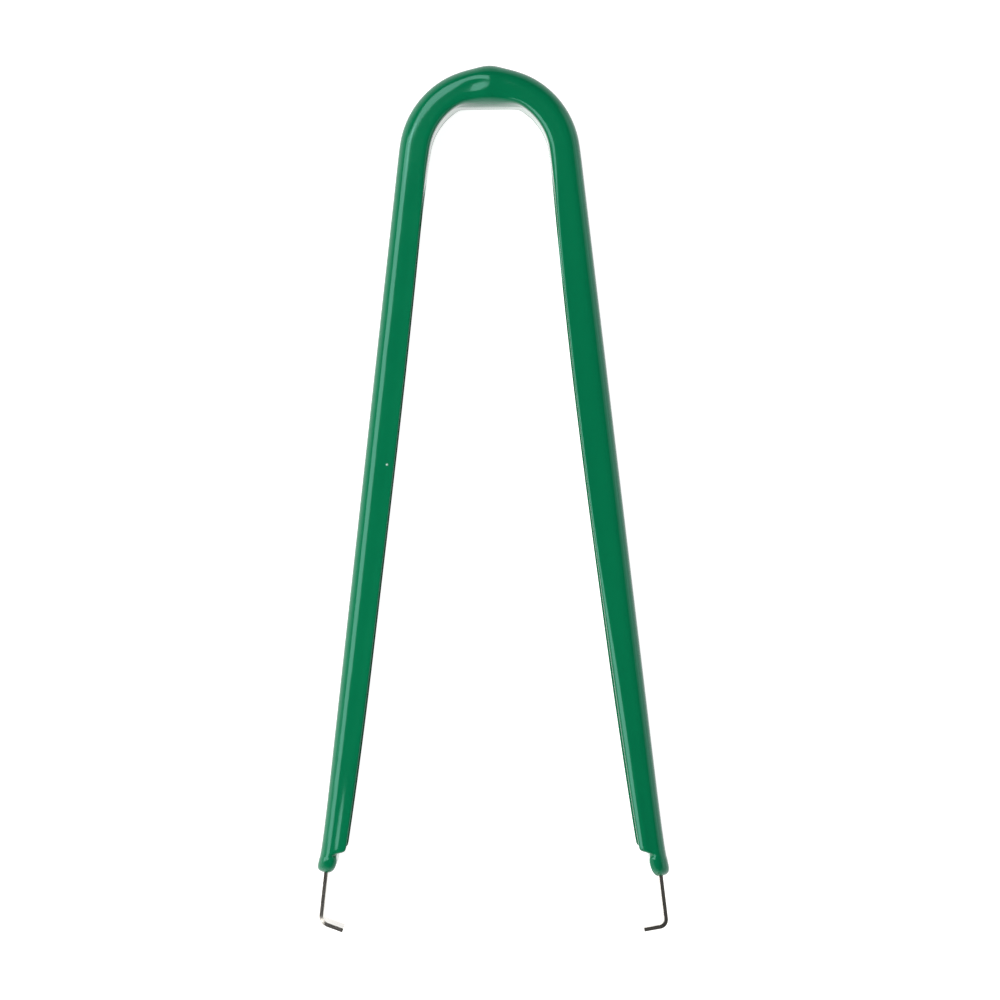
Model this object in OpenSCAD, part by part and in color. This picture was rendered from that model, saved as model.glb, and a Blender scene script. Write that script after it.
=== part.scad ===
// Extractor for socketed chips: one spring-steel strip, folded to a channel and bent into a U, with its
// tongue tips hooked inwards, dipped bend first in vinyl. The tool lies on its side: X runs across the
// arms, +Y towards the bend and Z across the strip. Each arm has a frame of its own, turned about the
// centre of the bend, in which the arm runs along -Y with the steel's outer face at x = bend_radius.

/* [Whole tool] */
// Length from the drip on the bend to the lowest point of the hooks
overall_length = 105; // [95:1:120]
// Angle of each arm to the centre line, in degrees
arm_splay = 6.55; // [4:0.05:9]

/* [Steel strip] */
// Thickness of the spring steel
sheet = 0.5; // [0.4:0.05:0.6]
// Width of the strip across its folded flanges
channel_width = 9; // [8:0.1:12]
// Inside radius of the folds between the web and the flanges
fold_radius = 0.5; // [0.3:0.05:0.7]
// Outside radius of the bend
bend_radius = 10.5; // [9:0.1:13]
// Depth of the flanges along the grip, over the web
flange_depth = 2.65; // [2.45:0.05:3.2]
// Length over which the flanges grow shallower, up to their ends
taper_length = 25; // [15:1:35]
// Radius of the long curve by which they grow shallower
taper_radius = 625; // [500:5:1500]
// Slope of the flange ends from square, in degrees
flange_end_slope = 20; // [5:1:30]

/* [Hooked tips] */
// Width of the tongue and of its hook
tip_width = 6.5; // [4:0.1:6.8]
// Bare length of the tongue, from the vinyl to the hook's bend
bare_length = 4.55; // [3:0.05:8]
// Inside radius of the hook's bend
hook_radius = 0.9; // [0.4:0.05:1.2]
// Angle that the hook's bend turns through, in degrees
hook_angle = 76; // [60:1:90]
// Straight length of the hook past its bend
hook_length = 2; // [1:0.1:3]

/* [Vinyl coating] */
// Thickness of the vinyl
coat = 0.55; // [0.4:0.05:0.65]
// Fillet in the inside corners of the coated channel
channel_fillet = 0.4; // [0.2:0.05:0.5]
// Rounding of the coated flange ends at the inner corner
end_rounding = 0.7; // [0.4:0.05:1]
// Length of the coated tongue past the flange ends
tongue_length = 3.4; // [2.8:0.1:6]
// Swelling of the vinyl on the tongue's inner face
bead_swell = 0.55; // [0.3:0.05:0.8]
// How far the vinyl pooled in the bend stands past the flange edges
pool_rise = 0.9; // [0.4:0.1:2]
// Rounding along both edges of the pool
pool_rounding = 1; // [0.5:0.1:1.5]
// Height of the drip above the bend
drip_height = 0.25; // [0.1:0.05:0.6]
// Radius of the drip's crown
drip_radius = 3; // [2:0.1:5]

/* [Hidden] */
$fn = 96;

// Facets of the long curve and of the hook's bend
taper_facets = 1800;
hook_facets = 16;
// Overshoot of cuts past what they cut
clear = 1;
// Flat lap of the rounded flange edges, half of it inside the flanges
edge_lap = 0.2;
// Depth of the pool, the drip and the tongue's vinyl below the faces that they blend into
sunk = 0.05;

// Coated sizes
coat_width = channel_width + 2 * coat;
mid_z = coat_width / 2;
coat_wall = sheet + 2 * coat;
coat_radius = bend_radius + coat;
coat_depth = flange_depth + 2 * coat;
coat_fold = fold_radius + sheet + coat;
edge_radius = coat_wall / 2;
edge_inset = edge_radius + edge_lap / 2;
bend_y = overall_length / 2 - drip_height - coat_radius;

// Hook, in the arm's frame: its centre, and the corner that is the tool's lowest point
hook_outer = hook_radius + sheet;
hook_x = bend_radius - hook_outer;
hook_corner_x = hook_x + hook_outer * cos(hook_angle) - hook_length * sin(hook_angle);
hook_drop = hook_outer * sin(hook_angle) + hook_length * cos(hook_angle);

// Distances along the arm from the centre of the bend
tip_end = (bend_y + overall_length / 2 + hook_corner_x * sin(arm_splay)) / cos(arm_splay) - hook_drop;
mouth = tip_end - bare_length;
flange_end = mouth - tongue_length;
taper_start = flange_end - taper_length;

// Taper of the coated flanges: the centre of its curve, its turn, and the corner where it ends
edge_x = coat_radius - coat_depth;
taper_x = edge_x + taper_radius;
taper_turn = asin(taper_length / taper_radius);
end_corner = [taper_x - taper_radius * cos(taper_turn), -flange_end];
end_depth = coat_radius - end_corner.x;
fillet = min(channel_fillet, end_depth - edge_radius - edge_lap - coat_wall);

// Bead of vinyl around the tongue
bead_radius = (coat_wall + bead_swell) / 2;
bead_x = coat_radius - sunk - bead_radius;
bead_span = tip_width + 2 * coat - 2 * bead_radius;

module quarter_disc(r) {
    intersection() {
        circle(r);
        square(r);
    }
}

// Channel section: its web's outer face at x = outer, its flanges reaching inwards
module channel_profile(outer, depth, width, wall, fold, corner) {
    translate([outer, mid_z])
        difference() {
            union() {
                translate([-depth, -width / 2])
                    square([depth - fold, width]);
                translate([-fold, fold - width / 2])
                    square([fold, width - 2 * fold]);
                for (side = [-1, 1])
                    translate([-fold, side * (width / 2 - fold)])
                        scale([1, side])
                            quarter_disc(fold);
            }
            translate([-depth - clear, wall - width / 2])
                square([depth + clear - wall - corner, width - 2 * wall]);
            translate([-wall - corner, wall + corner - width / 2])
                square([corner, width - 2 * (wall + corner)]);
            for (side = [-1, 1])
                translate([-wall - corner, side * (width / 2 - wall - corner)])
                    scale([1, side])
                        quarter_disc(corner);
        }
}

module steel_profile(depth) {
    channel_profile(bend_radius, depth, channel_width, sheet, fold_radius + sheet, fold_radius);
}

// Coated channel up to the middle of its edges' lap
module coat_body_profile(depth) {
    channel_profile(coat_radius, depth - edge_inset, coat_width, coat_wall, coat_fold, fillet);
}

// Rounded edges of both coated flanges, with their outermost line at x = 0
module edge_profiles() {
    for (z = [edge_radius, coat_width - edge_radius])
        translate([edge_radius, z]) {
            translate([0, -edge_radius])
                square([edge_lap, coat_wall]);
            intersection() {
                circle(edge_radius);
                translate([-edge_radius, -edge_radius])
                    square([edge_radius, coat_wall]);
            }
        }
}

// Whole section of the coated channel along the grip
module coat_profile() {
    coat_body_profile(coat_depth);
    translate([edge_x, 0])
        edge_profiles();
}

module both_sides() {
    for (side = [0, 1])
        mirror([side, 0, 0])
            children();
}

module arm_frame() {
    translate([0, bend_y, 0])
        rotate([0, 0, arm_splay])
            children();
}

// Sweeps a section along the arm, between two distances from the centre of the bend
module along_arm(from, to) {
    translate([0, -from, 0])
        rotate([90, 0, 0])
            linear_extrude(to - from)
                children();
}

// Sweeps a section around the bend, from each arm up to the centre plane
module around_bend() {
    both_sides()
        intersection() {
            arm_frame()
                rotate_extrude(angle = 90)
                    children();
            translate([0, 0, -clear])
                cube([overall_length, overall_length, coat_width + 2 * clear]);
        }
}

// Raises a plan shape through the whole width of the strip
module through_strip() {
    translate([0, 0, -clear])
        linear_extrude(coat_width + 2 * clear)
            children();
}

// Plan of all that lies past the sloped flange ends, or past a line that much nearer to the bend
module past_flange_end(nearer) {
    translate(end_corner)
        rotate(-flange_end_slope)
            translate([-coat_radius, nearer - coat_radius])
                square([2 * coat_radius, coat_radius]);
}

// All that lies on the web's side of the taper's curve, or of one that much nearer to the web
module within_taper(nearer) {
    translate([taper_x, -taper_start, -clear])
        cylinder(r = taper_radius - nearer, h = coat_width + 2 * clear, $fn = taper_facets);
}

module steel_arm() {
    along_arm(0, taper_start)
        steel_profile(flange_depth);
    difference() {
        intersection() {
            along_arm(taper_start, flange_end + coat_depth)
                steel_profile(flange_depth + clear);
            within_taper(coat);
        }
        through_strip()
            past_flange_end(coat);
    }
}

// Point on the hook's bend, in plan
function hook_point(r, turn) = [hook_x + r * cos(turn), -tip_end - r * sin(turn)];

module hooked_tongue() {
    turns = [for (i = [0 : hook_facets]) hook_angle * i / hook_facets];
    along_hook = hook_length * [-sin(hook_angle), -cos(hook_angle)];
    outer = [for (turn = turns) hook_point(hook_outer, turn)];
    inner = [for (i = [hook_facets : -1 : 0]) hook_point(hook_radius, turns[i])];
    ends = [outer[hook_facets] + along_hook, inner[0] + along_hook];
    root = [[bend_radius - sheet, coat - flange_end], [bend_radius, coat - flange_end]];
    translate([0, 0, mid_z - tip_width / 2])
        linear_extrude(tip_width)
            polygon(concat(root, outer, ends, inner));
}

module steel_strip() {
    color("silver") {
        around_bend()
            steel_profile(flange_depth);
        both_sides()
            arm_frame() {
                steel_arm();
                hooked_tongue();
            }
    }
}

// Plan of the corner between a flange's edge and its sloped end, outside its rounding
module end_corner_waste() {
    bite = 0.05;
    turn = 90 + flange_end_slope + taper_turn;
    leg = end_rounding / tan(turn / 2);
    up_edge = [-sin(taper_turn), cos(taper_turn)];
    along_end = [cos(flange_end_slope), -sin(flange_end_slope)];
    middle = (up_edge + along_end) / norm(up_edge + along_end);
    chord = [leg * along_end, leg * up_edge];
    translate(end_corner)
        difference() {
            polygon([chord[0], chord[1], chord[1] - clear * middle, chord[0] - clear * middle]);
            translate(middle * end_rounding / sin(turn / 2))
                circle(end_rounding + bite);
        }
}

// Rounded flange edges swept along the taper's curve, past the flange ends
module tapered_edges() {
    sweep = asin((taper_length + coat_depth) / taper_radius);
    translate([taper_x, -taper_start, 0])
        rotate_extrude(start = 180, angle = sweep, $fn = taper_facets)
            translate([taper_radius, 0])
                mirror([1, 0])
                    edge_profiles($fn = 96);
}

module coated_arm() {
    along_arm(0, taper_start)
        coat_profile();
    difference() {
        union() {
            intersection() {
                along_arm(taper_start, flange_end + coat_depth)
                    coat_body_profile(coat_depth + clear);
                within_taper(edge_inset);
            }
            tapered_edges();
        }
        through_strip() {
            past_flange_end(0);
            end_corner_waste();
        }
    }
}

// Vinyl around the tongue, a thick plate with full round edges on three sides
module coated_tongue() {
    straight = mouth - bead_radius - flange_end;
    translate([bead_x, -flange_end, mid_z]) {
        translate([0, 0, -bead_span / 2])
            linear_extrude(bead_span)
                mirror([0, 1]) {
                    translate([-bead_radius, 0])
                        square([2 * bead_radius, straight]);
                    translate([0, straight])
                        intersection() {
                            circle(bead_radius);
                            translate([-bead_radius, 0])
                                square([2 * bead_radius, bead_radius]);
                        }
                }
        for (side = [0, 1])
            mirror([0, 0, side])
                translate([0, 0, bead_span / 2])
                    rotate([90, 0, 0])
                        rotate_extrude(angle = 180) {
                            square([bead_radius, straight]);
                            translate([0, straight])
                                quarter_disc(bead_radius);
                        }
    }
}

// Vinyl that ran down into the bend as it hung, with a level face towards the arms
module pool() {
    level = coat_radius - coat_depth - pool_rise;
    half_span = mid_z - sunk;
    intersection() {
        translate([0, bend_y, 0])
            cylinder(r = bend_radius - sheet / 2, h = coat_width);
        translate([-bend_radius, bend_y + level, mid_z])
            rotate([90, 0, 90])
                linear_extrude(2 * bend_radius)
                    for (side = [-1, 1])
                        scale([1, side]) {
                            square([coat_radius, half_span - pool_rounding]);
                            translate([pool_rounding, half_span - pool_rounding])
                                square([coat_radius - pool_rounding, pool_rounding]);
                            translate([pool_rounding, half_span - pool_rounding])
                                mirror([1, 0])
                                    quarter_disc(pool_rounding);
                        }
    }
}

// Last drip, dried as a low ridge across the bend
module drip() {
    half_span = mid_z - sunk;
    end_rise = min(coat_fold, drip_radius / 2);
    intersection() {
        translate([0, overall_length / 2 - drip_radius, mid_z])
            rotate_extrude()
                for (side = [-1, 1])
                    scale([1, side]) {
                        square([drip_radius, half_span - end_rise]);
                        translate([0, half_span - end_rise])
                            square([drip_radius - end_rise, end_rise]);
                        translate([drip_radius - end_rise, half_span - end_rise])
                            quarter_disc(end_rise);
                    }
        translate([-drip_radius, bend_y + bend_radius - sheet / 2, 0])
            cube([2 * drip_radius, coat_radius, coat_width]);
    }
}

module vinyl_coating() {
    color("#00734a")
        difference() {
            union() {
                around_bend()
                    coat_profile();
                both_sides()
                    arm_frame() {
                        coated_arm();
                        coated_tongue();
                    }
                pool();
                drip();
            }
            steel_strip();
        }
}

steel_strip();
vinyl_coating();
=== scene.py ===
"""Looks of an extractor for socketed chips: one spring-steel strip, folded to a channel, bent into a U and
hooked inwards at its tips, dipped bend first in green vinyl.

The object's sizes are in millimetres, as in the part's source, and each mesh is scaled to metres once it
is shaped. The studio is in metres. An arm is shaped in a frame of its own: the centre of the bend at the
origin, the arm along -Y with the web's outer face towards +X, and z from the middle of the strip. Distances
along the arm run from the centre of the bend.
"""

import math

import bmesh
import bpy
from mathutils import Matrix, Vector


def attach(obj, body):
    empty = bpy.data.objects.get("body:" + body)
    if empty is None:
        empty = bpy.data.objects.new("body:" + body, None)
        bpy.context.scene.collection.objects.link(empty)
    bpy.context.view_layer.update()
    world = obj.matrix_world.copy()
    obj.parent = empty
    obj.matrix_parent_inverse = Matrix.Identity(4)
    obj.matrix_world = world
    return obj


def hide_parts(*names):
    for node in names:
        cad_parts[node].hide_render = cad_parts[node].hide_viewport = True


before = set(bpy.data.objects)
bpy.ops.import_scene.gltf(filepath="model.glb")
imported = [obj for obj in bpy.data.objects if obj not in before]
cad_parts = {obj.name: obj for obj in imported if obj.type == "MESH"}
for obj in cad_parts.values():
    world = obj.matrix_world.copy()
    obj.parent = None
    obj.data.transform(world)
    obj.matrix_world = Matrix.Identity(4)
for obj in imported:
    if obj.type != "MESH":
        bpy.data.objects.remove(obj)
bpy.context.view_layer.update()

# A millimetre in metres, and how near to each other, in millimetres, mirrored vertices are merged
MM = 0.001
CLOSE = 0.001

# Sizes shared with the part's source
OVERALL_LENGTH = 105
ARM_SPLAY = math.radians(6.55)
SHEET = 0.5
CHANNEL_WIDTH = 9
FOLD_RADIUS = 0.5
BEND_RADIUS = 10.5
FLANGE_DEPTH = 2.65
TAPER_LENGTH = 25
TAPER_RADIUS = 625
END_SLOPE = math.radians(20)
TIP_WIDTH = 6.5
BARE_LENGTH = 4.55
HOOK_RADIUS = 0.9
HOOK_ANGLE = math.radians(76)
HOOK_LENGTH = 2
COAT = 0.55
CHANNEL_FILLET = 0.4
TONGUE_LENGTH = 3.4
POOL_RISE = 0.9
DRIP_HEIGHT = 0.25

# Sizes that follow from them
COAT_WIDTH = CHANNEL_WIDTH + 2 * COAT
COAT_WALL = SHEET + 2 * COAT
COAT_RADIUS = BEND_RADIUS + COAT
COAT_DEPTH = FLANGE_DEPTH + 2 * COAT
MID_Z = COAT_WIDTH / 2
BEND_TURN = math.pi / 2 - ARM_SPLAY
BEND_Y = OVERALL_LENGTH / 2 - DRIP_HEIGHT - COAT_RADIUS
POOL_LEVEL = COAT_RADIUS - COAT_DEPTH - POOL_RISE
HOOK_OUTER = HOOK_RADIUS + SHEET
HOOK_X = BEND_RADIUS - HOOK_OUTER
HOOK_CORNER_X = HOOK_X + HOOK_OUTER * math.cos(HOOK_ANGLE) - HOOK_LENGTH * math.sin(HOOK_ANGLE)
HOOK_DROP = HOOK_OUTER * math.sin(HOOK_ANGLE) + HOOK_LENGTH * math.cos(HOOK_ANGLE)
TIP_REACH = BEND_Y + OVERALL_LENGTH / 2 + HOOK_CORNER_X * math.sin(ARM_SPLAY)
TIP_END = TIP_REACH / math.cos(ARM_SPLAY) - HOOK_DROP
MOUTH = TIP_END - BARE_LENGTH
FLANGE_END = MOUTH - TONGUE_LENGTH
TAPER_START = FLANGE_END - TAPER_LENGTH
END_DEPTH = COAT_DEPTH - TAPER_LENGTH**2 / (2 * TAPER_RADIUS)

# Lines along the strip, numbered from the middle of the web to the flange's edge. Those of the inner face
# have the same numbers, past INNER
WEB, TONGUE, FOLD, CURL, FLAT, HOLD, EDGE = range(7)
INNER = 10


def new_mesh():
    """An empty bmesh whose vertices know their line along the strip and their place in a plain section."""
    bm = bmesh.new()
    bm.verts.layers.int.new("line")
    bm.verts.layers.float_vector.new("section")
    bm.edges.layers.float.new("crease_edge")
    return bm


def face_line(bm, web_x, half_width, fold, steps, tongue_half, stops, inner):
    """Draws one face of half a channel's section, from the middle of the web round the fold to the edge."""
    line = bm.verts.layers.int["line"]
    before = set(bm.edges)
    corner = half_width - fold
    end = bm.verts.new((web_x, 0, 0))
    end[line] = WEB + inner
    for number, z in ((TONGUE, tongue_half), (FOLD, corner)):
        end = bmesh.ops.extrude_vert_indiv(bm, verts=[end])["verts"][0]
        end[line] = number + inner
        end.co.z = z
    centre = (web_x - fold, 0, corner)
    turned = bmesh.ops.spin(bm, geom=[end], cent=centre, axis=(0, -1, 0), angle=math.pi / 2, steps=steps)
    end = turned["geom_last"][0]
    end[line] = CURL + inner
    for number, x in stops:
        end = bmesh.ops.extrude_vert_indiv(bm, verts=[end])["verts"][0]
        end[line] = number + inner
        end.co.x = x
    return [edge for edge in bm.edges if edge not in before]


def bent_channel(bm, face_lines, turns):
    """Joins two faces to a section and turns it up to the centre plane. Returns the arm's end of it."""
    bmesh.ops.bridge_loops(bm, edges=face_lines)
    geom = bm.verts[:] + bm.edges[:] + bm.faces[:]
    bmesh.ops.mirror(bm, geom=geom, axis="Z", merge_dist=CLOSE)
    cap = bm.faces[:]
    geom = bm.verts[:] + bm.edges[:] + cap
    walls = []
    for angle, steps in turns:
        turned = bmesh.ops.spin(bm, geom=geom, cent=(0, 0, 0), axis=(0, 0, 1), angle=angle, steps=steps)
        geom = turned["geom_last"]
        walls += [item for item in geom if isinstance(item, bmesh.types.BMFace)]
    bmesh.ops.delete(bm, geom=[face for face in walls if face.is_valid], context="FACES")
    return cap


def extend(bm, cap):
    """Extrudes an end of the strip in place. Returns the new end's faces and vertices."""
    grown = bmesh.ops.extrude_face_region(bm, geom=cap)["geom"]
    bmesh.ops.delete(bm, geom=cap, context="FACES")
    faces = [item for item in grown if isinstance(item, bmesh.types.BMFace)]
    verts = [item for item in grown if isinstance(item, bmesh.types.BMVert)]
    return faces, verts


def taper(distance):
    """How much shallower the flanges are at a distance along the arm."""
    return max(0, distance - TAPER_START) ** 2 / (2 * TAPER_RADIUS)


def end_slant(x):
    """How far the sloped flange end lies past the flange's inner corner, at a place across the arm."""
    return (END_DEPTH - (COAT_RADIUS - x)) * math.tan(END_SLOPE)


def web_faces(bm, cap, last_line):
    """The middle of an end of the strip, up to a line on either side, from which the tongue goes on."""
    line = bm.verts.layers.int["line"]
    return [face for face in cap if all(vert[line] % INNER <= last_line for vert in face.verts)]


def both_arms(bm):
    """Turns the arm to its splay and mirrors it to make the other one."""
    turn = Matrix.Rotation(ARM_SPLAY, 3, "Z")
    bmesh.ops.rotate(bm, verts=bm.verts[:], cent=(0, 0, 0), matrix=turn)
    geom = bm.verts[:] + bm.edges[:] + bm.faces[:]
    bmesh.ops.mirror(bm, geom=geom, axis="X", merge_dist=CLOSE)
    bmesh.ops.recalc_face_normals(bm, faces=bm.faces[:])


def finished_piece(bm, name, node, material):
    """Places a mesh in the shared frame as the piece that stands for a CAD node."""
    bmesh.ops.translate(bm, verts=bm.verts[:], vec=(0, BEND_Y, MID_Z))
    bmesh.ops.scale(bm, verts=bm.verts[:], vec=(MM, MM, MM))
    mesh = bpy.data.meshes.new(name)
    bm.to_mesh(mesh)
    bm.free()
    mesh.shade_smooth()
    mesh.materials.append(material)
    piece = bpy.data.objects.new(name, mesh)
    bpy.context.scene.collection.objects.link(piece)
    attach(piece, "root")
    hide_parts(node)
    return piece


def arm_place(place):
    """Which arm a place is on, the directions along that arm and inwards from it, and how far along it the
    place is."""
    side = math.copysign(1, place.x)
    along = Vector((side * math.sin(ARM_SPLAY), -math.cos(ARM_SPLAY), 0))
    inwards = Vector((-side * math.cos(ARM_SPLAY), -math.sin(ARM_SPLAY), 0))
    return side, along, inwards, along.dot(place)


# How many steps the strip's folds, its bend and its hooks are turned in
STRIP_FOLD_STEPS = 6
STRIP_BEND_STEPS = 28
HOOK_STEPS = 12
# Distances along the arm at which the strip's section is drawn, with its flanges getting shallower
STRIP_STATIONS = (TAPER_START, 68, 77, FLANGE_END)
# How far the strip's edges bulge inside the hooks' bends, and draw in outside them
HOOK_BULGE = 0.035
HOOK_DRAW = 0.05
# The right hook was bent a little later than the left one, and its end stands at the same level
RIGHT_HOOK_LATE = 0.65
# The sheared edges: their burr, and the angle from which an edge counts as one
BURR_WIDTH = 0.04
BURR_SEGMENTS = 2
SHARP_ANGLE = math.radians(40)


def bulge_hook(bm):
    """Tilts the strip's edges in the bend of the hook, where the sheet was pressed and stretched."""
    line = bm.verts.layers.int["line"]
    for vert in bm.verts:
        turn = math.atan2(-TIP_END - vert.co.y, vert.co.x - HOOK_X)
        if vert[line] % INNER == TONGUE and vert.co.y < -TIP_END and turn < HOOK_ANGLE:
            share = math.sin(math.pi * turn / HOOK_ANGLE)
            width = HOOK_BULGE if vert[line] > INNER else -HOOK_DRAW
            vert.co.z += math.copysign(width, width * vert.co.z) * share


def lower_right_hook(bm):
    """Moves the bend of the right hook down, and its end not at all."""
    for vert in bm.verts:
        side, along, inwards, distance = arm_place(vert.co)
        if side > 0 and distance > MOUTH:
            reach = (BEND_RADIUS + inwards.dot(vert.co)) / (HOOK_OUTER + HOOK_LENGTH)
            started = min(1, (distance - MOUTH) / (TIP_END - MOUTH))
            vert.co += along * RIGHT_HOOK_LATE * started * (1 - min(1, reach))


def steel_mesh():
    """The whole strip: channel, flange ends, tongues and hooks."""
    bm = new_mesh()
    half = CHANNEL_WIDTH / 2
    edge_x = BEND_RADIUS - FLANGE_DEPTH
    inner_x = BEND_RADIUS - SHEET
    outer_fold = FOLD_RADIUS + SHEET
    tongue_half = TIP_WIDTH / 2
    stops = [(EDGE, edge_x)]
    outer = face_line(bm, BEND_RADIUS, half, outer_fold, STRIP_FOLD_STEPS, tongue_half, stops, 0)
    inner = face_line(bm, inner_x, half - SHEET, FOLD_RADIUS, STRIP_FOLD_STEPS, tongue_half, stops, INNER)
    cap = bent_channel(bm, outer + inner, [(BEND_TURN, STRIP_BEND_STEPS)])
    line = bm.verts.layers.int["line"]
    for distance in STRIP_STATIONS:
        cap, verts = extend(bm, cap)
        for vert in verts:
            vert.co.y = -distance
            if vert[line] % INNER == EDGE:
                vert.co.x = edge_x + taper(distance)
    for vert in verts:
        vert.co.y += COAT / math.cos(END_SLOPE) - end_slant(vert.co.x)
    cap, verts = extend(bm, web_faces(bm, cap, TONGUE))
    for vert in verts:
        vert.co.y = -TIP_END
    centre = (HOOK_X, -TIP_END, 0)
    turned = bmesh.ops.spin(
        bm, geom=cap, cent=centre, axis=(0, 0, -1), angle=HOOK_ANGLE, steps=HOOK_STEPS
    )
    bmesh.ops.delete(bm, geom=cap, context="FACES")
    cap = [item for item in turned["geom_last"] if isinstance(item, bmesh.types.BMFace)]
    bulge_hook(bm)
    cap, verts = extend(bm, cap)
    along_hook = Vector((-math.sin(HOOK_ANGLE), -math.cos(HOOK_ANGLE), 0))
    bmesh.ops.translate(bm, verts=verts, vec=HOOK_LENGTH * along_hook)
    both_arms(bm)
    lower_right_hook(bm)
    return bm


# How many steps the vinyl's folds are turned in, and how often its cage is subdivided
COAT_FOLD_STEPS = 4
SKIN_LEVELS = 2
# The turns that make half the bend, with their steps. The last one, up to the drip, is divided more finely
DRIP_TURN = math.radians(16)
COAT_TURNS = ((BEND_TURN - DRIP_TURN, 10), (DRIP_TURN, 5))
# How far from the flange's edge the lines on its faces lie in the bend
HOLD_IN_BEND = 1.15
OUTER_FLAT_IN_BEND = 1.7
INNER_FLAT_IN_BEND = 1.5

# Along the arm: distance, how far from its edge the flange's face starts to round off, how far from it the
# bead along that edge ends, how far the face is hollowed there and beside the fold, how far vinyl fills the
# channel, how far the section slants with the flange end, and how far its outer face swells
COAT_STATIONS = (
    (2.5, 1.0, 1.6, 0, 0, 1, 0, 0),
    (7, 0.5, 1.2, 0.03, 0, 0.8, 0, 0),
    (14, 0.45, 1.05, 0.05, 0, 0.3, 0, 0),
    (24, 0.45, 1.05, 0.05, 0, 0, 0, 0),
    (34, 0.45, 1.05, 0.05, 0, 0, 0, 0),
    (45, 0.45, 1.05, 0.05, 0, 0, 0, 0),
    (55, 0.55, 1.1, 0.06, 0, 0, 0, 0),
    (64, 0.65, 1.2, 0.08, 0.03, 0, 0, 0),
    (73, 0.75, 1.2, 0.06, 0.09, 0, 0, 0),
    (80, 0.75, 1.1, 0, 0.14, 0, 0.2, 0),
    (84.8, 0.75, 1.05, 0, 0.14, 0, 1, 0.1),
    (FLANGE_END, 0.8, 1.1, 0, 0.12, 0, 1, 0.22),
)
# How far the face of the filled channel stands back from the flanges' edges
MENISCUS = 0.05
# How much of its distance from the middle each line of that face keeps, and how much all its others keep
FILL_WIDTHS = {HOLD: 0.93, FLAT: 0.86}
FILL_WIDTH = 0.8

# Along the coated tongue: distance, how far it still slants with the flange end, half its width, the depth
# of its inner face, how far its outer face swells, and how far that face closes in on the steel
TONGUE_STATIONS = (
    (85.75, 0.9, 5.0, 1.85, 0.25, 0),
    (86.3, 0.7, 4.9, 2.0, 0.28, 0),
    (87.1, 0.35, 4.7, 1.97, 0.32, 0),
    (87.9, 0.1, 4.45, 1.85, 0.35, 0),
    (88.5, 0, 4.05, 1.55, 0.3, 0.06),
    (MOUTH, 0, 3.5, 1.25, 0.15, 0.3),
)
# How far from its inner corners the tongue's vinyl starts to round off, across its depth and its width
BEAD_DEPTH_ROUNDING = 0.3
BEAD_WIDTH_ROUNDING = 0.5
# How far the mouth's vinyl goes back in along the steel
SLEEVE_DEPTH = 1.2


def coated_tongue(bm, cap):
    """Vinyl round the tongue: shoulders that narrow to it, a swelling on its faces, and a mouth that the
    steel comes out of."""
    line = bm.verts.layers.int["line"]
    section = bm.verts.layers.float_vector["section"]
    crease = bm.edges.layers.float["crease_edge"]
    steel_x = COAT_RADIUS - COAT - SHEET / 2
    outer_half = COAT_WIDTH / 2
    inner_half = outer_half - COAT_WALL
    for distance, slant, half, inner_depth, swell, close in TONGUE_STATIONS:
        cap, verts = extend(bm, cap)
        for vert in verts:
            vert.co = vert[section]
            if vert[line] >= INNER:
                vert.co.x = COAT_RADIUS - inner_depth
                vert.co.z *= (half - BEAD_WIDTH_ROUNDING) / inner_half
            else:
                vert.co.x += swell
                if vert[line] == CURL:
                    vert.co.x = COAT_RADIUS - inner_depth + BEAD_DEPTH_ROUNDING
                vert.co.x += (steel_x - vert.co.x) * close
                vert.co.z *= half / outer_half
            vert.co.y = -distance - slant * end_slant(vert.co.x)
    cap, verts = extend(bm, cap)
    for vert in verts:
        vert.co.z *= TIP_WIDTH / 2 / (half - BEAD_WIDTH_ROUNDING if vert[line] >= INNER else half)
        vert.co.x = COAT_RADIUS - COAT - (SHEET if vert[line] >= INNER else 0)
        vert.co.y = -MOUTH
    cap, verts = extend(bm, cap)
    for vert in verts:
        vert.co.y += SLEEVE_DEPTH
        for edge in vert.link_edges:
            edge[crease] = 1


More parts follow.
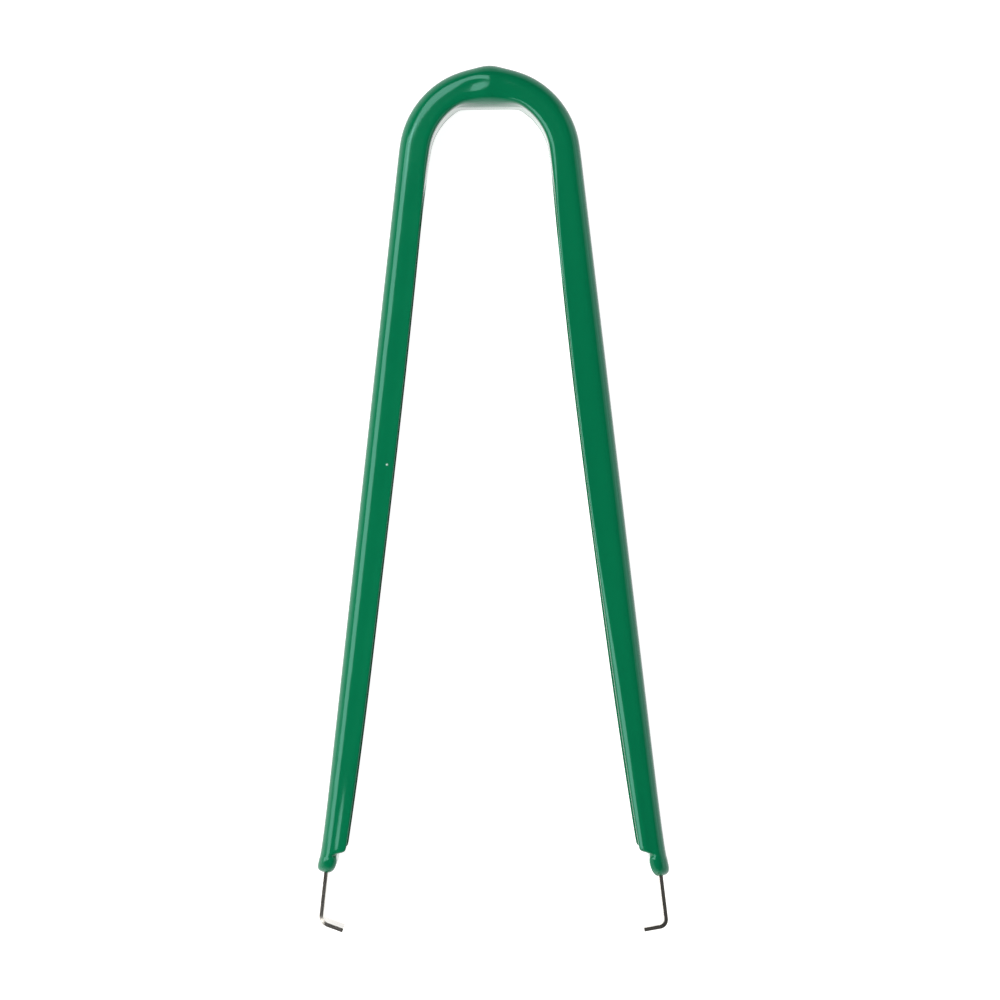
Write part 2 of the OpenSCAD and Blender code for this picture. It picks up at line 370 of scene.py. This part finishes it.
def coat_mesh():
    """Cage of the vinyl skin, which a Subdivision Surface rounds off."""
    bm = new_mesh()
    half = COAT_WIDTH / 2
    edge_x = COAT_RADIUS - COAT_DEPTH
    inner_x = COAT_RADIUS - COAT_WALL
    fill_x = edge_x + MENISCUS
    outer_fold = FOLD_RADIUS + SHEET + COAT
    tongue_half = TIP_WIDTH / 4
    last_stops = [(HOLD, edge_x + HOLD_IN_BEND), (EDGE, edge_x)]
    outer_stops = [(FLAT, edge_x + OUTER_FLAT_IN_BEND)] + last_stops
    inner_stops = [(FLAT, edge_x + INNER_FLAT_IN_BEND)] + last_stops
    outer = face_line(bm, COAT_RADIUS, half, outer_fold, COAT_FOLD_STEPS, tongue_half, outer_stops, 0)
    inner = face_line(
        bm, inner_x, half - COAT_WALL, CHANNEL_FILLET, COAT_FOLD_STEPS, tongue_half, inner_stops, INNER
    )
    cap = bent_channel(bm, outer + inner, COAT_TURNS)
    line = bm.verts.layers.int["line"]
    section = bm.verts.layers.float_vector["section"]
    for vert in {vert for face in cap for vert in face.verts}:
        vert[section] = vert.co
    for vert in bm.verts:
        if INNER <= vert[line] < INNER + EDGE:
            vert.co.xy *= fill_x / vert.co.xy.length
            vert.co.z *= FILL_WIDTHS.get(vert[line] - INNER, FILL_WIDTH)
    for distance, hold, bead, bead_hollow, fold_hollow, fill, slant, swell in COAT_STATIONS:
        cap, verts = extend(bm, cap)
        for vert in verts:
            number = vert[line] % INNER
            vert.co = vert[section]
            if number == EDGE:
                vert.co.x = edge_x + taper(distance)
            if number == HOLD:
                vert.co.x = edge_x + taper(distance) + hold
            if INNER <= vert[line] < INNER + EDGE:
                vert.co.x += (fill_x - vert.co.x) * fill
                vert.co.z *= 1 - (1 - FILL_WIDTHS.get(number, FILL_WIDTH)) * fill
            if vert[line] <= CURL:
                vert.co.x += swell
            if vert[line] == CURL:
                vert.co.z = math.copysign(half - fold_hollow, vert.co.z)
            if vert[line] == FLAT:
                vert.co.x = edge_x + taper(distance) + bead
                vert.co.z = math.copysign(half - bead_hollow, vert.co.z)
            vert.co.y = -distance - slant * end_slant(vert.co.x)
    coated_tongue(bm, web_faces(bm, cap, CURL))
    both_arms(bm)
    return bm


# How much deeper the flanges came out than they were meant to, at distances along each arm
LEFT_DEPTH = (
    (0, -0.3),
    (8, -0.26),
    (13, -0.15),
    (22, -0.09),
    (32, -0.08),
    (42, -0.14),
    (57, -0.28),
    (86, -0.34),
)
RIGHT_DEPTH = (
    (0, 0),
    (8, 0.1),
    (13, 0.22),
    (27, 0.42),
    (42, 0.34),
    (57, 0.13),
    (72, -0.05),
    (86, -0.12),
)
# How far each of an arm's two flanges stands past that
UPPER_EXTRA = 0.1
LOWER_EXTRA = 0.02
# The vinyl drained downwards: all the flanges' edges are undercut, and the lower flanges' edges are sharp
UPPER_UNDERCUT = 0.3
LOWER_UNDERCUT = 0.2
# Distance from the centre of the bend past which all this has its full size
UNEVEN_FROM = 8
# How sharp the left arm's upper flange is along its edge
LEFT_SHARPNESS = 0.35
# How much more the right arm's upper flange is rounded over, along its face, and how far its edge sinks
RIGHT_ROUNDING = ((0, 0), (50, 0), (62, 0.35), (86, 0.3))
RIGHT_SINK = ((0, 0), (50, 0), (62, 0.32), (72, 0.25), (86, 0.05))
# How much earlier the right bead starts to round over, and where on the arm the bead begins
RIGHT_BEAD_ROUNDING = 0.35
RIGHT_BEAD_START = FLANGE_END + 1
# The left mouth dried nearer to the bend
LEFT_MOUTH_SHORT = 0.6


def between(table, place):
    """Value at a place in a table of places and values, which keeps its last value past its end."""
    for (start, low), (end, high) in zip(table, table[1:]):
        if start <= place <= end:
            return low + (high - low) * (place - start) / (end - start)
    return table[-1][1]


def lies_along(edge, line, number, upper):
    """Whether an edge lies on a line of the arms' upper or lower flanges."""
    return all(vert[line] == number and (vert.co.z > 0) == upper and vert.co.y < 0 for vert in edge.verts)


def uneven_dip(bm):
    """Gives each flange its own depth and edges, the right bead its rounding and the left mouth its
    place."""
    line = bm.verts.layers.int["line"]
    crease = bm.edges.layers.float["crease_edge"]
    for edge in bm.edges:
        if lies_along(edge, line, INNER + EDGE, upper=False):
            edge[crease] = 1
            edge.smooth = False
        if lies_along(edge, line, EDGE, upper=True) and edge.verts[0].co.x < 0:
            edge[crease] = LEFT_SHARPNESS
    for vert in bm.verts:
        side, along, inwards, distance = arm_place(vert.co)
        upper = vert.co.z > 0
        if distance > 0 and vert[line] % INNER >= FLAT:
            depth = between(RIGHT_DEPTH if side > 0 else LEFT_DEPTH, distance)
            depth += UPPER_EXTRA if upper else LOWER_EXTRA
            if upper and vert[line] == INNER + EDGE:
                depth -= UPPER_UNDERCUT
            if not upper and vert[line] == EDGE:
                depth -= LOWER_UNDERCUT
            vert.co += inwards * depth * min(1, distance / UNEVEN_FROM)
            if side > 0 and upper and vert[line] == HOLD:
                vert.co -= inwards * between(RIGHT_ROUNDING, distance)
            if side > 0 and upper and vert[line] == EDGE:
                vert.co.z -= between(RIGHT_SINK, distance)
        if side > 0 and distance > RIGHT_BEAD_START and vert[line] == CURL:
            vert.co -= inwards * RIGHT_BEAD_ROUNDING
        if side < 0 and distance > FLANGE_END:
            vert.co -= along * LEFT_MOUTH_SHORT * (distance - FLANGE_END) / (MOUTH - FLANGE_END)


# How much of its distance from the middle each line of the pool's face keeps, as the face rounds over to
# the tool's faces, and how far it stands above the pool's level. The last pair is for all lines in between
POOL_LINES = {
    HOLD: (0.99, 0.86),
    EDGE: (0.83, 0.26),
    INNER + EDGE: (0.87, -0.04),
    INNER + HOLD: (0.75, -0.14),
}
POOL_MIDDLE = (0.6, -0.2)
# How deep the pool is where its lines have drawn in fully
POOL_DEEP = 0.6
# The drip's rise and the drop of the skin beside it, with their widths
DRIP_RISE = 0.7
DRIP_WIDTH = 1.7
DRAWN_DOWN = 0.4
DRAWN_WIDTH = 3
# How much of both is left far from the middle of the strip, and the width of the rest
DRIP_AT_EDGES = 0.35
DRIP_ACROSS = 3.2
# The ridge that the drip left on the upper face: its height, its place across the tool and its width
RIDGE_HEIGHT = 0.16
RIDGE_X = -0.2
RIDGE_WIDTH = 1.1
# How the upper face dips beside the fold and rises again to the pool, to the left of the drip
DRIP_SLOPE = {CURL: -0.06, FLAT: -0.17, HOLD: 0.16}
SLOPE_X = -1.4
SLOPE_WIDTH = 1.6


def hump(x, middle, width):
    """A bell of height 1."""
    return math.exp(-(((x - middle) / width) ** 2))


def pool_and_drip(bm):
    """Levels the vinyl that pooled inside the bend, and raises the last drip on top of it, which drew the
    skin down on either side. On the upper face the drip left a ridge, with a dip to the left of it."""
    line = bm.verts.layers.int["line"]
    for vert in bm.verts:
        number = vert[line]
        if number in POOL_LINES or number >= INNER:
            width, rise = POOL_LINES.get(number, POOL_MIDDLE)
            over = vert.co.y - POOL_LEVEL - rise
            if over > 0:
                vert.co.y -= over
                vert.co.z *= 1 - (1 - width) * min(1, over / POOL_DEEP)
        elif vert.co.y > POOL_LEVEL:
            share = DRIP_AT_EDGES + (1 - DRIP_AT_EDGES) * hump(vert.co.z, 0, DRIP_ACROSS)
            raised = DRIP_RISE * hump(vert.co.x, 0, DRIP_WIDTH)
            drawn = DRAWN_DOWN * hump(vert.co.x, 0, DRAWN_WIDTH)
            vert.co.y += share * (raised - drawn)
        if CURL <= number <= HOLD and vert.co.z > 0 and vert.co.y > POOL_LEVEL:
            vert.co.z += RIDGE_HEIGHT * hump(vert.co.x, RIDGE_X, RIDGE_WIDTH)
            vert.co.z += DRIP_SLOPE[number] * hump(vert.co.x, SLOPE_X, SLOPE_WIDTH)


def linear(hex_colour):
    """Linear RGBA of an sRGB hex colour."""
    parts = [int(hex_colour[i : i + 2], 16) / 255 for i in (1, 3, 5)]
    return [p / 12.92 if p <= 0.04045 else ((p + 0.055) / 1.055) ** 2.4 for p in parts] + [1]


def add_node(tree, kind, links=None, inputs=None, **settings):
    """Adds a node with its settings, its inputs' values and the outputs that its inputs take."""
    node = tree.nodes.new(kind)
    for name, value in settings.items():
        setattr(node, name, value)
    for socket, value in (inputs or {}).items():
        node.inputs[socket].default_value = value
    for socket, output in (links or {}).items():
        tree.links.new(output, node.inputs[socket])
    return node


def empty_tree(owner):
    """The node tree of a material or world, cleared."""
    owner.use_nodes = True
    owner.node_tree.nodes.clear()
    return owner.node_tree


def pattern_scale(size):
    """Scale of a pattern on Object coordinates whose features are that many millimetres wide."""
    return 1 / (size * MM)


# The vinyl's two tones, a pale tone painted on the blister over an air bubble as its highlight, the tint of
# its gloss, its index of refraction and the range of its roughness
VINYL_TONES = ("#006943", "#017147")
BLISTER_GLINT_TONE = "#d9f2e6"
GLOSS_TINT = (0.5, 1, 0.93, 1)
VINYL_IOR = 1.53
VINYL_ROUGHNESS = (0.1, 0.16)
# Widths in millimetres of the clouds in its tone, of the runs it dried in and of its orange peel
CLOUD_SIZE = 9
RUN_SIZE = 5
PEEL_SIZE = 0.8
# Heights of those runs, of the peel and of the blister where a bubble rose to the skin
RUN_HEIGHT = 0.06
PEEL_HEIGHT = 0.003
BLISTER_HEIGHT = 0.1
# Where the blister is, on the left arm's upper face, and its radius
BLISTER_PLACE = (-12.56 * MM, 4.11 * MM, COAT_WIDTH * MM)
BLISTER_RADIUS = 0.2


def dipped_vinyl():
    """Plastisol dipped and cured on the steel: a smooth, deep green skin with a wet gloss. It levelled as
    it ran, so its highlights waver a little, and it has a faint orange peel and a tiny blister from a
    bubble, whose highlight is painted into its colour as a pale spot."""
    material = bpy.data.materials.new("dipped_green_vinyl")
    tree = empty_tree(material)
    place = add_node(tree, "ShaderNodeTexCoord").outputs["Object"]
    cloud = add_node(
        tree,
        "ShaderNodeTexNoise",
        {"Vector": place},
        {"Scale": pattern_scale(CLOUD_SIZE), "Detail": 2, "Roughness": 0.5},
    )
    tone = add_node(
        tree,
        "ShaderNodeMix",
        {"Factor": cloud.outputs["Fac"]},
        {"A": linear(VINYL_TONES[0]), "B": linear(VINYL_TONES[1])},
        data_type="RGBA",
    )
    gloss = add_node(
        tree,
        "ShaderNodeMapRange",
        {"Value": cloud.outputs["Fac"]},
        {"To Min": VINYL_ROUGHNESS[0], "To Max": VINYL_ROUGHNESS[1]},
    )
    runs = add_node(
        tree,
        "ShaderNodeTexNoise",
        {"Vector": place},
        {"Scale": pattern_scale(RUN_SIZE), "Detail": 1, "Roughness": 0.4},
    )
    peel = add_node(
        tree,
        "ShaderNodeTexNoise",
        {"Vector": place},
        {"Scale": pattern_scale(PEEL_SIZE), "Detail": 1, "Roughness": 0.4},
    )
    wavy = add_node(
        tree,
        "ShaderNodeBump",
        {"Height": runs.outputs["Fac"]},
        {"Strength": 1, "Distance": RUN_HEIGHT * MM},
    )
    peeled = add_node(
        tree,
        "ShaderNodeBump",
        {"Height": peel.outputs["Fac"], "Normal": wavy.outputs["Normal"]},
        {"Strength": 1, "Distance": PEEL_HEIGHT * MM},
    )
    off_bubble = add_node(
        tree, "ShaderNodeVectorMath", {0: place}, {1: BLISTER_PLACE}, operation="DISTANCE"
    )
    dome = add_node(
        tree,
        "ShaderNodeMapRange",
        {"Value": off_bubble.outputs["Value"]},
        {"From Min": 0, "From Max": BLISTER_RADIUS * MM, "To Min": 1, "To Max": 0},
        interpolation_type="SMOOTHSTEP",
    )
    blistered = add_node(
        tree,
        "ShaderNodeBump",
        {"Height": dome.outputs["Result"], "Normal": peeled.outputs["Normal"]},
        {"Strength": 1, "Distance": BLISTER_HEIGHT * MM},
    )
    # Painted highlight: the blister's middle is mixed towards a pale tone, which stands in for the lamp's
    # glint on it
    painted_blister_glint = add_node(
        tree,
        "ShaderNodeMix",
        {"Factor": dome.outputs["Result"], "A": tone.outputs["Result"]},
        {"B": linear(BLISTER_GLINT_TONE)},
        data_type="RGBA",
    )
    shader = add_node(
        tree,
        "ShaderNodeBsdfPrincipled",
        {
            "Base Color": painted_blister_glint.outputs["Result"],
            "Roughness": gloss.outputs["Result"],
            "Normal": blistered.outputs["Normal"],
        },
        {"IOR": VINYL_IOR, "Specular Tint": GLOSS_TINT},
    )
    add_node(tree, "ShaderNodeOutputMaterial", {"Surface": shader.outputs["BSDF"]})
    return material


# The steel's two tones and the range of its roughness
STEEL_TONES = ("#b0aca5", "#d4d0c8")
STEEL_ROUGHNESS = (0.16, 0.28)
# The rolled grain's width, length and height in millimetres. It is drawn coarser than the real one, to show
GRAIN_WIDTH = 0.12
GRAIN_LENGTH = 2.5
GRAIN_HEIGHT = 0.004


def spring_steel():
    """Cold-rolled spring steel, sheared and left bare: grey, with a fine rolled grain along the strip and a
    satin gloss."""
    material = bpy.data.materials.new("rolled_spring_steel")
    tree = empty_tree(material)
    place = add_node(tree, "ShaderNodeTexCoord").outputs["Object"]
    across = pattern_scale(GRAIN_WIDTH)
    along = add_node(
        tree,
        "ShaderNodeMapping",
        {"Vector": place},
        {"Scale": (across, pattern_scale(GRAIN_LENGTH), across)},
    )
    grain = add_node(
        tree, "ShaderNodeTexNoise", {"Vector": along.outputs["Vector"]}, {"Scale": 1, "Detail": 2}
    )
    tone = add_node(
        tree,
        "ShaderNodeMix",
        {"Factor": grain.outputs["Fac"]},
        {"A": linear(STEEL_TONES[0]), "B": linear(STEEL_TONES[1])},
        data_type="RGBA",
    )
    satin = add_node(
        tree,
        "ShaderNodeMapRange",
        {"Value": grain.outputs["Fac"]},
        {"To Min": STEEL_ROUGHNESS[0], "To Max": STEEL_ROUGHNESS[1]},
    )
    lines = add_node(
        tree,
        "ShaderNodeBump",
        {"Height": grain.outputs["Fac"]},
        {"Strength": 0.4, "Distance": GRAIN_HEIGHT * MM},
    )
    shader = add_node(
        tree,
        "ShaderNodeBsdfPrincipled",
        {
            "Base Color": tone.outputs["Result"],
            "Roughness": satin.outputs["Result"],
            "Normal": lines.outputs["Normal"],
        },
        {"Metallic": 1},
    )
    add_node(tree, "ShaderNodeOutputMaterial", {"Surface": shader.outputs["BSDF"]})
    return material


# The paper's colour and its lift to white, how far it lies below the tool, and half its side
PAPER_TONE = "#c8c8c8"
PAPER_LIFT = 0.93
PAPER_DROP = 0.02 * MM
PAPER_HALF = 3
# How bright the room is, and the heights above the horizon between which its white backdrop fades out
ROOM_LEVEL = 0.06
BACKDROP_FADE = (math.radians(12), math.radians(28))
# Lamps: name, place, the place it faces, its two sides, its radiance, and whether it shows in reflections
LAMPS = (
    ("left_softbox", (-0.277, -0.095, 0.355), (0, -0.095, 0), (0.51, 0.28), 3.9, True),
    ("left_low_card", (-0.42, -0.165, 0.22), (0, -0.165, 0), (0.3, 0.12), 3.9, True),
    ("top_softbox", (-0.16, 0.26, 0.45), (-0.16, 0.26, 0), (0.31, 0.3), 3.8, True),
    ("right_card", (0.5, 0, 0.2), (0, 0, 0), (0.8, 0.35), 0.7, True),
    ("ceiling_fill", (0.05, -0.2, 0.75), (0.05, -0.2, 0), (0.8, 0.8), 0.55, False),
)
# The camera's place, its slight turn, its lens and sensor in millimetres, and where its view begins
CAMERA_PLACE = (0.00105, -0.00023, 0.5801)
CAMERA_TURN = -0.0049
CAMERA_LENS = 170.07
CAMERA_SENSOR = 36
CAMERA_START = 0.01


def seen_directly(tree):
    """1 for rays from the camera or off a mirror or glass, and 0 for light on the object."""
    rays = add_node(tree, "ShaderNodeLightPath").outputs
    total = add_node(tree, "ShaderNodeMath", {0: rays["Is Camera Ray"], 1: rays["Is Glossy Ray"]})
    total = add_node(
        tree,
        "ShaderNodeMath",
        {0: total.outputs["Value"], 1: rays["Is Transmission Ray"]},
        use_clamp=True,
    )
    return total.outputs["Value"]


def studio_floor():
    """White paper sweep: matt, lifted to plain white where it is seen, with the object's shadow on it."""
    material = bpy.data.materials.new("white_paper")
    tree = empty_tree(material)
    paper = add_node(tree, "ShaderNodeBsdfDiffuse", None, {"Color": linear(PAPER_TONE)})
    lift = add_node(
        tree, "ShaderNodeMath", {0: seen_directly(tree)}, {1: PAPER_LIFT}, operation="MULTIPLY"
    )
    glow = add_node(tree, "ShaderNodeEmission", {"Strength": lift.outputs["Value"]})
    both = add_node(tree, "ShaderNodeAddShader", {0: paper.outputs["BSDF"], 1: glow.outputs["Emission"]})
    add_node(tree, "ShaderNodeOutputMaterial", {"Surface": both.outputs["Shader"]})
    bm = bmesh.new()
    below = Matrix.Translation((0, 0, -PAPER_DROP))
    bmesh.ops.create_grid(bm, x_segments=1, y_segments=1, size=PAPER_HALF, matrix=below)
    mesh = bpy.data.meshes.new("floor")
    bm.to_mesh(mesh)
    bm.free()
    mesh.materials.append(material)
    floor = bpy.data.objects.new("floor", mesh)
    bpy.context.scene.collection.objects.link(floor)


def studio_world():
    """A dim room with a white backdrop all round, which fades out overhead and is plain white behind the
    object."""
    world = bpy.data.worlds.new("studio")
    tree = empty_tree(world)
    direction = add_node(tree, "ShaderNodeTexCoord").outputs["Generated"]
    height = add_node(tree, "ShaderNodeSeparateXYZ", {"Vector": direction}).outputs["Z"]
    fade_start, fade_end = [math.sin(angle) for angle in BACKDROP_FADE]
    backdrop = add_node(
        tree,
        "ShaderNodeMapRange",
        {"Value": height},
        {"From Min": fade_start, "From Max": fade_end, "To Min": 1, "To Max": 0},
    )
    camera_ray = add_node(tree, "ShaderNodeLightPath").outputs["Is Camera Ray"]
    white = add_node(
        tree, "ShaderNodeMath", {0: camera_ray, 1: backdrop.outputs["Result"]}, operation="MAXIMUM"
    )
    seen = add_node(
        tree, "ShaderNodeMath", {0: white.outputs["Value"], 1: seen_directly(tree)}, operation="MULTIPLY"
    )
    level = add_node(
        tree, "ShaderNodeMath", {0: seen.outputs["Value"]}, {1: ROOM_LEVEL}, operation="MAXIMUM"
    )
    back = add_node(
        tree, "ShaderNodeBackground", {"Strength": level.outputs["Value"]}, {"Color": (1, 1, 1, 1)}
    )
    add_node(tree, "ShaderNodeOutputWorld", {"Surface": back.outputs["Background"]})
    bpy.context.scene.world = world


def softbox(name, place, aim, size, radiance, mirrored):
    """A rectangular lamp whose face has that radiance. Its first side is level."""
    lamp = bpy.data.lights.new(name, "AREA")
    lamp.shape = "RECTANGLE"
    lamp.size, lamp.size_y = size
    lamp.energy = radiance * math.pi * size[0] * size[1]
    box = bpy.data.objects.new(name, lamp)
    box.location = place
    box.rotation_euler = (Vector(aim) - Vector(place)).to_track_quat("-Z", "Y").to_euler()
    box.visible_camera = False
    box.visible_glossy = mirrored
    bpy.context.scene.collection.objects.link(box)


def photo_camera():
    """Straight down on the tool from well above, as the photograph was taken."""
    camera = bpy.data.objects.new("camera", bpy.data.cameras.new("camera"))
    camera.data.lens = CAMERA_LENS
    camera.data.sensor_width = CAMERA_SENSOR
    camera.data.clip_start = CAMERA_START
    camera.location = CAMERA_PLACE
    camera.rotation_euler.z = CAMERA_TURN
    bpy.context.scene.collection.objects.link(camera)
    bpy.context.scene.camera = camera


photo_camera()
strip = finished_piece(steel_mesh(), "spring_strip", "steel_strip", spring_steel())
strip.data.set_sharp_from_angle(angle=SHARP_ANGLE)
burr = strip.modifiers.new("sheared_edges", "BEVEL")
burr.width = BURR_WIDTH * MM
burr.segments = BURR_SEGMENTS
burr.limit_method = "ANGLE"
burr.angle_limit = SHARP_ANGLE

cage = coat_mesh()
uneven_dip(cage)
pool_and_drip(cage)
skin = finished_piece(cage, "vinyl_skin", "vinyl_coating", dipped_vinyl())
rounded = skin.modifiers.new("rounded", "SUBSURF")
rounded.levels = SKIN_LEVELS
rounded.render_levels = SKIN_LEVELS

studio_floor()
studio_world()
for lamp in LAMPS:
    softbox(*lamp)
bpy.context.scene.view_settings.view_transform = "Standard"
